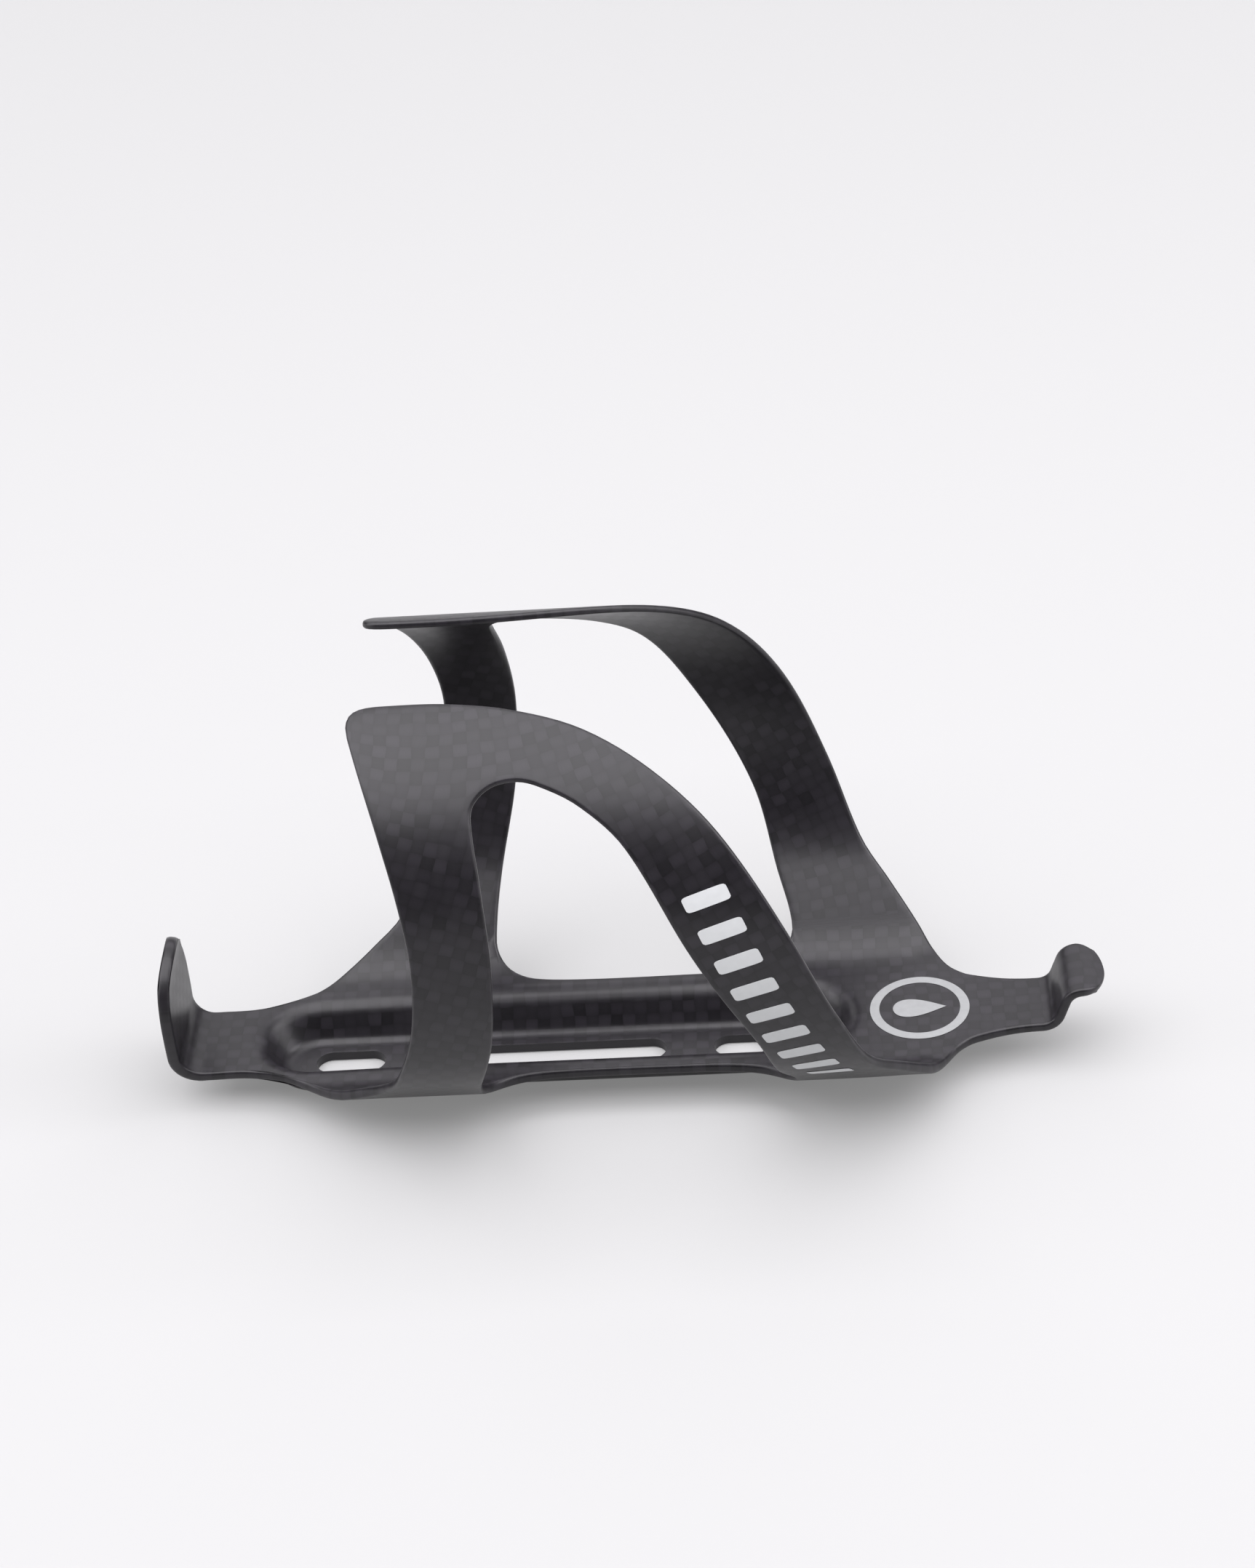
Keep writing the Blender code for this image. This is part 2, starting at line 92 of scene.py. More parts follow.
# The stop and the hook start where the plate ends. Their widths are half widths, and
# their moves are (length, turn) along the side view.
STOP_START = -69.2
STOP_THICKNESS = 1.9
STOP_WIDTH = 8.2
STOP_FLARE = 0.9
STOP_FLARE_LENGTH = 11
STOP_TIP_LENGTH = 11
STOP_MOVES = ((0.6, 0), (6.75, -math.radians(91)), (10.5, 0), (6.0, -math.radians(18)))
HOOK_START = 55.8
HOOK_THICKNESS = 1.5
HOOK_WIDTH = 7.8
HOOK_NARROWING = 1.5
HOOK_NARROWING_LENGTH = 9
HOOK_TIP_LENGTH = 4.3
HOOK_MOVES = (
    (9.5, 0),
    (3.7, math.radians(70)),
    (2.9, 0),
    (3.7, -math.radians(78)),
    (3.6, -math.radians(16)),
)
STOP_DROOP_START = -40.0
STOP_DROOP = 0.018
HOOK_RISE_START = 37.0
HOOK_RISE = 0.0225

# Runs past the wing and hook joints; the points made from them are not used.
WING_BEND_RUN = 9
HOOK_BEND_RUN = 6

# Mesh density: steps in each stretch of a curve, columns and rows of the strips.
CURVE_STEPS = 24
END_COLUMNS = 14
STRIP_COLUMNS = 14
LEG_ROWS = 44
TIP_ROWS = 26
ARM_ROWS = 54
LOWER_EDGE_STEPS = 24
UPPER_EDGE_STEPS = 16
WINDOW_RIM_STEPS = 50
CHANNEL_BEND_STEPS = 6
TONGUE_ROWS = 60
PATH_STEP = 0.05

# Width of one tow of the plain-woven cloth.
TOW = 2.0
CARBON_TONE = (0.013, 0.0115, 0.0145)
# Lift of the warp tows over the weft: partly the weave's pattern, partly painted sheen for the
# tows' directional reflection.
WEAVE_PATTERN_AND_SHEEN = 0.34

# Edges as (distance along X, distance over the shell from the centre line). The points
# were picked from the photo through the fitted camera and then shifted.
OUTER_EDGE = (
    (-69.2, 8.2),
    (-62.7, 8.3),
    (-56.7, 9.8),
    (-52.2, 12.6),
    (-47.7, 16.8),
    (-43.8, 20.5),
    (-39.6, 24.6),
    (-36.6, 30.2),
    (-34.1, 37.8),
    (-30.7, 50.1),
    (-29.4, 62.7),
    (-30.5, 72.8),
    (-32.8, 83.0),
    (-36.4, 96.4),
    (-37.4, 101.1),
    (-36.8, 103.4),
    (-34.9, 104.5),
    (-30.5, 104.8),
    (-22.5, 104.6),
    (-13.1, 103.0),
    (-2.5, 99.0),
    (7.9, 91.4),
    (17.1, 81.4),
    (26.2, 65.8),
    (33.1, 48.8),
    (38.0, 34.9),
    (42.3, 27.6),
    (46.6, 20.1),
    (48.9, 15.2),
    (51.4, 10.8),
    (53.8, 8.6),
    (55.8, 7.8),
)
OUTER_TIP = (14, 19)
WINDOW_EDGE = (
    (7.0, 12.1),
    (-9.0, 12.1),
    (-16.9, 12.8),
    (-20.5, 14.6),
    (-22.6, 17.4),
    (-23.3, 20.5),
    (-22.1, 31.8),
    (-18.8, 47.4),
    (-17.5, 62.4),
    (-18.1, 75.2),
    (-18.9, 83.3),
    (-18.7, 87.1),
    (-16.2, 89.9),
    (-12.4, 90.8),
    (-9.2, 90.0),
    (-3.3, 86.6),
    (3.3, 79.8),
    (11.2, 64.1),
    (20.4, 44.6),
    (23.7, 30.7),
    (25.9, 20.5),
    (24.2, 16.3),
    (20.7, 13.5),
    (15.5, 12.4),
)
WINDOW_TIP = (10, 14)

# The stage, in metres. The floor glows faintly under the cage and more far away.
WHITE = (1, 1, 1, 1)
FLOOR_SIZE = 40
FLOOR_LEVEL = -0.0002
FLOOR_COLOUR = (0.31, 0.31, 0.31, 1)
FLOOR_GLOW = 0.2
FLOOR_FAR_GLOW = 0.88
FLOOR_LIT_RADIUS = 0.3
FLOOR_FAR_RADIUS = 2.6
WORLD_GLOW = 0.04
LIGHT_COLOUR = (0.985, 0.97, 1.0)
# Softboxes as (name, place, aim, size, radiance), in metres.
SOFTBOXES = (
    ("top_softbox", (0.05, -0.2, 1.1), (0.05, -0.2, 0), (2.6, 1.3), 4.1),
    ("back_softbox", (0.0, 0.9, 0.8), (0, 0, 0.03), (2.0, 1.0), 1.45),
    ("right_softbox", (1.2, -0.15, 0.6), (0, 0, 0.03), (1.0, 0.9), 3.0),
    ("left_softbox", (-1.2, -0.15, 0.6), (0, 0, 0.03), (1.0, 0.9), 3.0),
)

# The camera as it was fitted to the photo: metres, degrees and a 36 mm wide sensor.
CAMERA_PLACE = (0.0344, -0.42536, 0.34403)
CAMERA_AZIMUTH = 4.5
CAMERA_ELEVATION = 35.8
CAMERA_ROLL = -5.3
CAMERA_LENS = 76.909
CAMERA_SHIFT = 0.0594
CAMERA_CLIP_START = 0.01
SENSOR_WIDTH = 36

SPINE, STOP, HOOK, LEFT, RIGHT = range(5)


# ---------------------------------------------------------------- curves and section
def smooth_share(share):
    share = min(max(share, 0.0), 1.0)
    return share * share * (3 - 2 * share)


def plate_rise(along):
    """The plate droops towards the stop and rises towards the hook."""
    droop = STOP_DROOP * max(STOP_DROOP_START - along, 0.0)
    return HOOK_RISE * max(along - HOOK_RISE_START, 0.0) - droop


def section(run):
    """Side distance, height and tilt of the shell, a given run from the centre line."""
    corner = (WING_RADIUS + FOOT_FULLNESS) * math.sin(FLANK)
    top = AXIS_HEIGHT - (WING_RADIUS + FOOT_FULLNESS) * math.cos(FLANK)
    crossing = corner - (top - PLATE_HEIGHT) / math.tan(FLANK)
    flat = crossing - FILLET_RADIUS * math.tan(FLANK / 2)
    fillet_end = flat + FILLET_RADIUS * FLANK
    fillet_side = flat + FILLET_RADIUS * math.sin(FLANK)
    flank_length = (corner - fillet_side) / math.cos(FLANK)
    if run <= flat:
        return run, PLATE_HEIGHT, 0.0
    if run <= fillet_end:
        tilt = (run - flat) / FILLET_RADIUS
        rise = FILLET_RADIUS * (1 - math.cos(tilt))
        return flat + FILLET_RADIUS * math.sin(tilt), PLATE_HEIGHT + rise, tilt
    if run <= fillet_end + flank_length:
        step = run - fillet_end
        rise = FILLET_RADIUS * (1 - math.cos(FLANK)) + step * math.sin(FLANK)
        return fillet_side + step * math.cos(FLANK), PLATE_HEIGHT + rise, FLANK
    tilt = FLANK + (run - fillet_end - flank_length) / WING_RADIUS
    squeezed = smooth_share((tilt - SQUEEZE_START) / SQUEEZE_SPAN)
    fullness = smooth_share((FULLNESS_END - tilt) / FULLNESS_SPAN)
    radius = WING_RADIUS - WING_SQUEEZE * squeezed + FOOT_FULLNESS * fullness
    return radius * math.sin(tilt), AXIS_HEIGHT - radius * math.cos(tilt), tilt


def shell_point(along, run, outward=0.0):
    side, height, tilt = section(abs(run))
    side += outward * math.sin(tilt)
    height -= outward * math.cos(tilt)
    return np.array((along, math.copysign(side, run), height + plate_rise(along)))


def dense_curve(points, closed=False):
    """Fine points on a smooth curve through the given ones, CURVE_STEPS a stretch."""
    knots = [np.array(point) for point in points]
    if closed:
        knots = [knots[-1], *knots, knots[0], knots[1]]
    else:
        knots = [2 * knots[0] - knots[1], *knots, 2 * knots[-1] - knots[-2]]
    fine = []
    for before, start, end, after in zip(knots, knots[1:], knots[2:], knots[3:]):
        reach = np.linalg.norm(end - start)
        leave = reach * (end - before) / (np.linalg.norm(start - before) + reach)
        arrive = reach * (after - start) / (reach + np.linalg.norm(after - end))
        for step in range(CURVE_STEPS):
            t = step / CURVE_STEPS
            rise = t * t * (3 - 2 * t)
            bend = leave * t * (1 - t) ** 2 - arrive * t * t * (1 - t)
            fine.append(start + (end - start) * rise + bend)
    fine.append(knots[-2])
    return np.array(fine)


def even_points(line, count):
    """The same line as count + 1 evenly spaced points."""
    steps = np.linalg.norm(np.diff(line, axis=0), axis=1)
    length = np.concatenate(([0.0], np.cumsum(steps)))
    targets = np.linspace(0, length[-1], count + 1)
    return np.stack([np.interp(targets, length, line[:, k]) for k in (0, 1)], axis=1)


def crossings(line, run):
    """The line cut where it crosses a run, as (index before, exact point)."""
    found = []
    for index in range(len(line) - 1):
        low, high = line[index, 1] - run, line[index + 1, 1] - run
        if low * high < 0:
            share = low / (low - high)
            found.append((index, line[index] + share * (line[index + 1] - line[index])))
    return found


def stretch(line, start, end, count):
    """Even points between two places, each an index or an (index, point) cut."""
    first = [start[1]] if isinstance(start, tuple) else [line[start]]
    begin = start[0] + 1 if isinstance(start, tuple) else start + 1
    last = [end[1]] if isinstance(end, tuple) else [line[end]]
    finish = end[0] + 1 if isinstance(end, tuple) else end
    return even_points(np.array([*first, *line[begin:finish], *last]), count)


# ---------------------------------------------------------------- the sheet
class Sheet:
    """The shell's middle surface: points, cloth coordinates, thicknesses and faces."""

    def __init__(self):
        self.points = []
        self.cloth = []
        self.thickness = []
        self.faces = []
        self.parts = []

    def add(self, point, cloth, thickness):
        self.points.append(np.array(point, float))
        self.cloth.append(tuple(cloth))
        self.thickness.append(thickness)
        return len(self.points) - 1

    def face(self, corners, part):
        corners = [c for i, c in enumerate(corners) if c != corners[i - 1]]
        if len(corners) > 2:
            self.faces.append(tuple(corners))
            self.parts.append(part)

    def grid(self, rows, part):
        for upper, lower in zip(rows, rows[1:]):
            for a, b, c, d in zip(upper, upper[1:], lower[1:], lower):
                self.face((a, b, c, d), part)


def shell_thickness(run):
    share = min(max((run - SPLIT_RUN) / THINNING_RUN, 0.0), 1.0)
    return PLATE_THICKNESS + (WING_THICKNESS - PLATE_THICKNESS) * share


def wing_edge(line, root, tip, foot):
    """Stations along a wing's edge: out along the leg, round the tip, back on the arm."""
    first, last = [CURVE_STEPS * index for index in tip]
    leg = stretch(line, root, first, LEG_ROWS)
    bend = stretch(line, first, last, TIP_ROWS)
    arm = stretch(line, last, foot, ARM_ROWS)
    return np.concatenate([leg, bend[1:], arm[1:]])


def wing_stations():
    """Matching points of a wing's outer and inner edges, and the spine's edges."""
    outer = dense_curve(OUTER_EDGE)
    root, foot = crossings(outer, SPLIT_RUN)
    window = dense_curve(WINDOW_EDGE, closed=True)
    inner_root, inner_foot = crossings(window, SPLIT_RUN)
    wing_outer = wing_edge(outer, root, OUTER_TIP, foot)
    wing_inner = wing_edge(window, inner_root, WINDOW_TIP, inner_foot)
    lower = stretch(outer, 0, root, LOWER_EDGE_STEPS)
    upper = stretch(outer, foot, len(outer) - 1, UPPER_EDGE_STEPS)
    rest = np.concatenate((window[inner_foot[0] + 1 : -1], window[: inner_root[0] + 1]))
    rim = np.array([inner_foot[1], *rest, inner_root[1]])[::-1]
    return wing_outer, wing_inner, lower, even_points(rim, WINDOW_RIM_STEPS), upper


def channel_profile():
    """Wall of the channel as (distance outside its outline, height), lip to foot."""
    depth = PLATE_HEIGHT - CHANNEL_FLOOR
    side = CHANNEL_BEND * math.sin(CHANNEL_WALL)
    drop = CHANNEL_BEND * (1 - math.cos(CHANNEL_WALL))
    reach = side + (depth / 2 - drop) / math.tan(CHANNEL_WALL)
    profile = []
    for step in range(CHANNEL_BEND_STEPS + 1):
        angle = CHANNEL_WALL * step / CHANNEL_BEND_STEPS
        height = PLATE_HEIGHT - CHANNEL_BEND * (1 - math.cos(angle))
        profile.append((reach - CHANNEL_BEND * math.sin(angle), height))
    last_side, last_height = profile[-1]
    middle = PLATE_HEIGHT - depth / 2
    for share in (1 / 3, 2 / 3):
        height = last_height + (2 * middle - 2 * last_height) * share
        profile.append((last_side * (1 - 2 * share), height))
    lip = profile[: CHANNEL_BEND_STEPS + 1]
    profile += [(-s, 2 * middle - h) for s, h in reversed(lip)]
    return profile


def channel_direction(along, side):
    """The nearest place on the channel's centre line, and the way out from it."""
    centre = min(max(along, CHANNEL_FIRST), CHANNEL_LAST)
    longer = CHANNEL_STOP_END_STRETCH if along < CHANNEL_FIRST else 1.0
    away = np.array(((along - centre) / longer, side))
    away /= np.linalg.norm(away)
    return centre, away * (longer, 1.0)


def build_spine(sheet, lower, rim, upper):
    """Plate and channel as loops round the channel; gives back the edge's vertices."""
    first, last = lower[-1], rim[0]
    root = [first + (last - first) * k / STRIP_COLUMNS for k in range(1, STRIP_COLUMNS)]
    first, last = rim[-1], upper[0]
    foot = [first + (last - first) * k / STRIP_COLUMNS for k in range(1, STRIP_COLUMNS)]
    half = [*lower, *root, *rim, *foot, *upper]
    step = 2 / END_COLUMNS
    start = [(STOP_START, lower[0][1] * k * step) for k in range(END_COLUMNS // 2)]
    end_half = upper[-1][1]
    end = [(HOOK_START, end_half * k * step) for k in range(END_COLUMNS // 2 - 1, -1, -1)]
    left = [np.array(point) for point in [*start, *half, *end]]
    right = [np.array((point[0], -point[1])) for point in reversed(left[1:-1])]
    edge = left + right
    profile = channel_profile()
    plan = [shell_point(*point)[:2] for point in edge]
    lip = []
    for along, side in plan:
        centre, away = channel_direction(along, side)
        lip.append(np.array((centre, 0)) + away * (CHANNEL_HALF_WIDTH + profile[0][0]))
    loops = []
    for share in (0, 0.24, 0.34, 0.44, 0.54, 0.64, 0.74, 0.83, 0.92):
        loop = []
        for outer, inner in zip(edge, lip):
            along, run = outer + (inner - outer) * share
            point = shell_point(along, run)
            loop.append(sheet.add(point, (along, run), PLATE_THICKNESS))
        loops.append(loop)
    travelled = 0.0
    for index, (offset, height) in enumerate(profile):
        if index:
            before = profile[index - 1]
            travelled += math.hypot(offset - before[0], height - before[1])
        loop = []
        for along, side in plan:
            centre, away = channel_direction(along, side)
            spot = np.array((centre, 0)) + away * (CHANNEL_HALF_WIDTH + offset)
            reach = CHANNEL_HALF_WIDTH + profile[0][0] - travelled
            cloth = np.array((centre, 0)) + away * reach
            share = (height - CHANNEL_FLOOR) / (PLATE_HEIGHT - CHANNEL_FLOOR)
            point = (*spot, height + share * plate_rise(spot[0]))
            loop.append(sheet.add(point, cloth, PLATE_THICKNESS))
        loops.append(loop)
    foot_width = CHANNEL_HALF_WIDTH + profile[-1][0]
    for share in (0.75, 0.5, 0.25):
        loop = []
        for along, side in plan:
            centre, away = channel_direction(along, side)
            spot = np.array((centre, 0)) + away * foot_width * share
            loop.append(sheet.add((*spot, CHANNEL_FLOOR), spot, PLATE_THICKNESS))
        loops.append(loop)
    middle = {}
    loop = []
    for along, side in plan:
        centre = round(channel_direction(along, side)[0], 5)
        if centre not in middle:
            point = (centre, 0, CHANNEL_FLOOR)
            middle[centre] = sheet.add(point, (centre, 0), PLATE_THICKNESS)
        loop.append(middle[centre])
    loops.append(loop)
    for outer, inner in zip(loops, loops[1:]):
        sheet.grid([outer + outer[:1], inner + inner[:1]], SPINE)
    return loops[0], len(start), len(left)


def cloth_turns(centres):
    """The cloth's turn at each station: level roots, steered along leg and arm."""
    steps = np.linalg.norm(np.diff(centres, axis=0), axis=1)
    places = np.concatenate(([0.0], np.cumsum(steps)))
    total = places[-1]
    knots = (0, 22, 60, 76, 112, total - 22, total)
    turns = (0, -19, -19, -5, 27, 27, 0)
    return np.radians(np.interp(places, knots, turns))


def steered_cloth(outer, inner):
    """Cloth coordinates for every wing vertex, matching the spine's at both roots."""
    centres = (outer + inner) / 2
    turns = cloth_turns(centres)
    smooth = np.convolve(np.pad(turns, 6, mode="edge"), np.ones(13) / 13, mode="valid")
    smooth[0], smooth[-1] = 0, 0
    places = [centres[0]]
    for index in range(1, len(centres)):
        turn = (smooth[index] + smooth[index - 1]) / 2
        c, s = math.cos(turn), math.sin(turn)
        x, y = centres[index] - centres[index - 1]
        places.append(places[-1] + np.array((c * x + s * y, c * y - s * x)))
    period = 2 * TOW
    miss = centres[-1] - places[-1]
    miss -= np.round(miss / period) * period
    rows = []
    for index, (near, far) in enumerate(zip(outer, inner)):
        c, s = math.cos(smooth[index]), math.sin(smooth[index])
        drift = miss * index / (len(centres) - 1)
        row = []
        for column in range(STRIP_COLUMNS + 1):
            x, y = near + (far - near) * column / STRIP_COLUMNS - centres[index]
            row.append(places[index] + drift + np.array((c * x + s * y, c * y - s * x)))
        rows.append(row)
    return rows


def build_wing(sheet, root, foot, sign, outer, inner, part):
    """Strip from the spine's left root round the tip to its right root."""
    cloth = steered_cloth(outer, inner)
    rows = [root]
    for index in range(1, len(outer) - 1):
        near, far = outer[index], inner[index]
        row = []
        for column in range(STRIP_COLUMNS + 1):
            along, run = near + (far - near) * column / STRIP_COLUMNS
            point = shell_point(along, sign * run)
            u, v = cloth[index][column]
            row.append(sheet.add(point, (u, sign * v), shell_thickness(run)))
        rows.append(row)
    rows.append(foot)
    if sign > 0:
        rows = [row[::-1] for row in rows]
    sheet.grid(rows, part)


def walk(start, heading, moves):
    """Fine points of a path of straights and arcs, each move being (length, turn)."""
    position = np.array(start, float)
    path = [position.copy()]
    for length, turn in moves:
        steps = max(8, int(length / PATH_STEP))
        for _ in range(steps):
            heading += turn / steps / 2
            position += np.array((math.cos(heading), math.sin(heading))) * length / steps
            heading += turn / steps / 2
            path.append(position.copy())
    return np.array(path)


def build_tongue(sheet, base, path, width, tip_length, thickness, part):
    """Bent strip with a rounded tip, from the spine's end row of vertices."""
    steps = np.linalg.norm(np.diff(path, axis=0), axis=1)
    length = np.concatenate(([0.0], np.cumsum(steps)))
    total = length[-1]
    body_end = total - tip_length
    outline = [(s, width(s)) for s in np.linspace(0, body_end, 60)]
    for angle in np.linspace(0, math.pi / 2, 60)[1:]:
        reach = body_end + tip_length * math.sin(angle)
        outline.append((reach, width(body_end) * max(math.cos(angle), 0)))
    outline = even_points(np.array(outline), 400)
    corner = int(np.argmin(np.abs(outline[:, 0] - (total - tip_length * 0.36))))
    side = even_points(outline[: corner + 1], TONGUE_ROWS)
    half_tip = even_points(outline[corner:], END_COLUMNS // 2)
    tip = [*half_tip, *[(s, -w) for s, w in half_tip[-2::-1]]]
    rows = [base]
    sign = math.copysign(1, path[-1][0])
    for row in range(1, TONGUE_ROWS + 1):
        v = row / TONGUE_ROWS
        line = []
        for column in range(END_COLUMNS + 1):
            u = column / END_COLUMNS
            near = np.array((side[row][0], side[row][1]))
            far = np.array((side[row][0], -side[row][1]))
            bottom = np.array((0.0, side[0][1] * (1 - 2 * u)))
            top = np.array(tip[column])
            a, b = np.array(side[0]), np.array((side[0][0], -side[0][1]))
            c, d = np.array(tip[0]), np.array(tip[-1])
            spot = (1 - u) * near + u * far + (1 - v) * bottom + v * top
            spot -= (1 - u) * (1 - v) * a + u * (1 - v) * b + (1 - u) * v * c + u * v * d
            place = [np.interp(spot[0], length, path[:, k]) for k in (0, 1)]
            blend = min(spot[0] / 4, 1.0)
            local = PLATE_THICKNESS + (thickness - PLATE_THICKNESS) * blend
            cloth = (path[0][0] + sign * spot[0], spot[1])
            line.append(sheet.add((place[0], spot[1], place[1]), cloth, local))
        rows.append(line)
    if sign < 0:
        rows = [row[::-1] for row in rows]
    sheet.grid(rows, part)


def stop_width(distance):
    return STOP_WIDTH + STOP_FLARE * smooth_share(distance / STOP_FLARE_LENGTH)


def hook_width(distance):
    share = min(distance / HOOK_NARROWING_LENGTH, 1.0)
    return HOOK_WIDTH - HOOK_NARROWING * share * (2 - share)


def build_sheet():
    sheet = Sheet()
    outer, inner, lower, rim, upper = wing_stations()
    edge, stop_half, left_count = build_spine(sheet, lower, rim, upper)
    root_at = stop_half + len(lower) - 1
    foot_at = root_at + STRIP_COLUMNS + len(rim) - 1
    root = edge[root_at : root_at + STRIP_COLUMNS + 1]
    foot = edge[foot_at : foot_at + STRIP_COLUMNS + 1][::-1]
    build_wing(sheet, root, foot, 1, outer, inner, LEFT)
    mirror = lambda row: [edge[(len(edge) - edge.index(v)) % len(edge)] for v in row]
    build_wing(sheet, mirror(root), mirror(foot), -1, outer, inner, RIGHT)
    near = edge[: stop_half + 1][::-1]
    stop_base = near + [edge[-k] for k in range(1, stop_half + 1)]
    start = (STOP_START, PLATE_HEIGHT + plate_rise(STOP_START))
    path = walk(start, math.pi + STOP_DROOP, STOP_MOVES)
    build_tongue(sheet, stop_base, path, stop_width, STOP_TIP_LENGTH, STOP_THICKNESS, STOP)
    half = END_COLUMNS // 2
    hook_base = edge[left_count - 1 - half : left_count + half]
    start = (HOOK_START, PLATE_HEIGHT + plate_rise(HOOK_START))
    path = walk(start, HOOK_RISE, HOOK_MOVES)
    build_tongue(sheet, hook_base, path, hook_width, HOOK_TIP_LENGTH, HOOK_THICKNESS, HOOK)
    return sheet


# ---------------------------------------------------------------- from sheet to shell
def consistent_faces(sheet):
    """Faces turned so that their normals leave the bottle."""
    points = np.array(sheet.points)
    neighbours = {}
    for index, face in enumerate(sheet.faces):
        for a, b in zip(face, face[1:] + face[:1]):
            neighbours.setdefault((min(a, b), max(a, b)), []).append((index, a < b))
    turned = {0: False}
    waiting = [0]
    links = {}
    for pair in neighbours.values():
        if len(pair) == 2:
            (first, way), (second, other) = pair
            links.setdefault(first, []).append((second, way == other))
            links.setdefault(second, []).append((first, way == other))
    while waiting:
        here = waiting.pop()
        for there, flip in links.get(here, ()):
            if there not in turned:
                turned[there] = turned[here] != flip
                waiting.append(there)
    faces = [face[::-1] if turned[i] else face for i, face in enumerate(sheet.faces)]
    corner = points[list(faces[0][:3])]
    if np.cross(corner[1] - corner[0], corner[2] - corner[0])[2] > 0:
        faces = [face[::-1] for face in faces]
    return faces


def point_normals(points, faces):
    normals = np.zeros_like(points)
    for face in faces:
        corners = points[list(face)]
        ahead = np.roll(corners, -1, axis=0)
        area = np.cross(corners - corners[0], ahead - corners[0]).sum(0)
        normals[list(face)] += area / (np.linalg.norm(area) + 1e-12) ** 0.5
    return normals / np.linalg.norm(normals, axis=1)[:, None]


def thicken(sheet):
    """A closed shell with rounded edges from the sheet: points, cloth, faces, parts."""
    faces = consistent_faces(sheet)
    points = np.array(sheet.points)
    normals = point_normals(points, faces)
    half = np.array(sheet.thickness)[:, None] / 2
    used = {}
    for face, part in zip(faces, sheet.parts):
        for a, b in zip(face, face[1:] + face[:1]):
            used[(a, b)] = part
    following = {a: (b, part) for (a, b), part in used.items() if (b, a) not in used}
    before = {b: a for a, (b, _) in following.items()}
    inset = points.copy()
    outward = {}
    for vertex, (after, _) in following.items():
        tangent = points[after] - points[before[vertex]]
        away = np.cross(tangent, normals[vertex])
        outward[vertex] = away / np.linalg.norm(away)
        inset[vertex] = points[vertex] - outward[vertex] * EDGE_ROUNDING
    count = len(points)
    result = [*(inset + normals * half), *(inset - normals * half)]
    cloth = list(sheet.cloth) * 2
    shell_faces = list(faces) + [tuple(v + count for v in face[::-1]) for face in faces]
    parts = list(sheet.parts) * 2
    rings = {}
    for vertex in following:
        ring = [vertex]
        for step in range(1, EDGE_STEPS):
            angle = math.pi * (0.5 - step / EDGE_STEPS)
            reach = EDGE_ROUNDING * math.cos(angle) ** EDGE_POWER
            rise = math.copysign(abs(math.sin(angle)) ** EDGE_POWER, angle) * half[vertex]
            ring.append(len(result))
            result.append(inset[vertex] + outward[vertex] * reach + normals[vertex] * rise)
            cloth.append(sheet.cloth[vertex])
        ring.append(vertex + count)
        rings[vertex] = ring
    for vertex, (after, part) in following.items():
        first, second = rings[vertex], rings[after]
        for a, b, c, d in zip(first, first[1:], second[1:], second):
            shell_faces.append((a, b, c, d))
            parts.append(part)
    return np.array(result), cloth, shell_faces, parts


def mesh_object(name, points, faces, cloth=None):
    mesh = bpy.data.meshes.new(name)
    mesh.from_pydata([tuple(point) for point in points], [], faces)
    if cloth is not None:
        layer = mesh.uv_layers.new(name="cloth")
        for loop in mesh.loops:
            layer.data[loop.index].uv = cloth[loop.vertex_index]
    mesh.shade_smooth()
    item = bpy.data.objects.new(name, mesh)
    bpy.context.scene.collection.objects.link(item)
    return item


def prism_faces(count):
    """Faces of a prism whose ends have the given number of corners each."""
    faces = [tuple(range(count))[::-1], tuple(range(count, 2 * count))]
    for index in range(count):
        following = (index + 1) % count
        faces.append((index, following, following + count, index + count))
    return faces


def slot_block(first, last):
    """The solid that cuts one slot through the channel's floor."""
    outline = []
    for end, start in ((last - SLOT_HALF_WIDTH, -90), (first + SLOT_HALF_WIDTH, 90)):
        for step in range(SLOT_END_STEPS + 1):
            angle = math.radians(start + 180 / SLOT_END_STEPS * step)
            side = SLOT_HALF_WIDTH * math.sin(angle)
            outline.append((end + SLOT_HALF_WIDTH * math.cos(angle), side))
    points = [(x * MM, y * MM, z * MM) for z in SLOT_CUT_HEIGHTS for x, y in outline]
    return mesh_object("slot_block", points, prism_faces(len(outline)))


def finished_shell():
    """The whole shell with its slots cut, as an evaluated mesh."""
    points, cloth, faces, parts = thicken(build_sheet())
    whole = mesh_object("whole_shell", points * MM, faces, cloth)
    for index in range(5):
        whole.data.materials.append(bpy.data.materials.new("part_" + str(index)))
    whole.data.polygons.foreach_set("material_index", parts)
    blocks = []
    for first, last in SLOTS:
        cut = whole.modifiers.new("slot", "BOOLEAN")
        cut.solver = "EXACT"
        cut.object = slot_block(first, last)
        cut.material_mode = "INDEX"
        blocks.append(cut.object)
    bevel = whole.modifiers.new("slot_edges", "BEVEL")
    bevel.width = SLOT_EDGE_BEVEL * MM
    bevel.segments = 3
    bevel.limit_method = "ANGLE"
    bevel.angle_limit = SLOT_EDGE_ANGLE
    graph = bpy.context.evaluated_depsgraph_get()
    mesh = bpy.data.meshes.new_from_object(whole.evaluated_get(graph))
    for item in [whole, *blocks]:
        bpy.data.objects.remove(item)
    mesh.shade_smooth()
    mesh.set_sharp_from_angle(angle=SHARP_ANGLE)
    return mesh


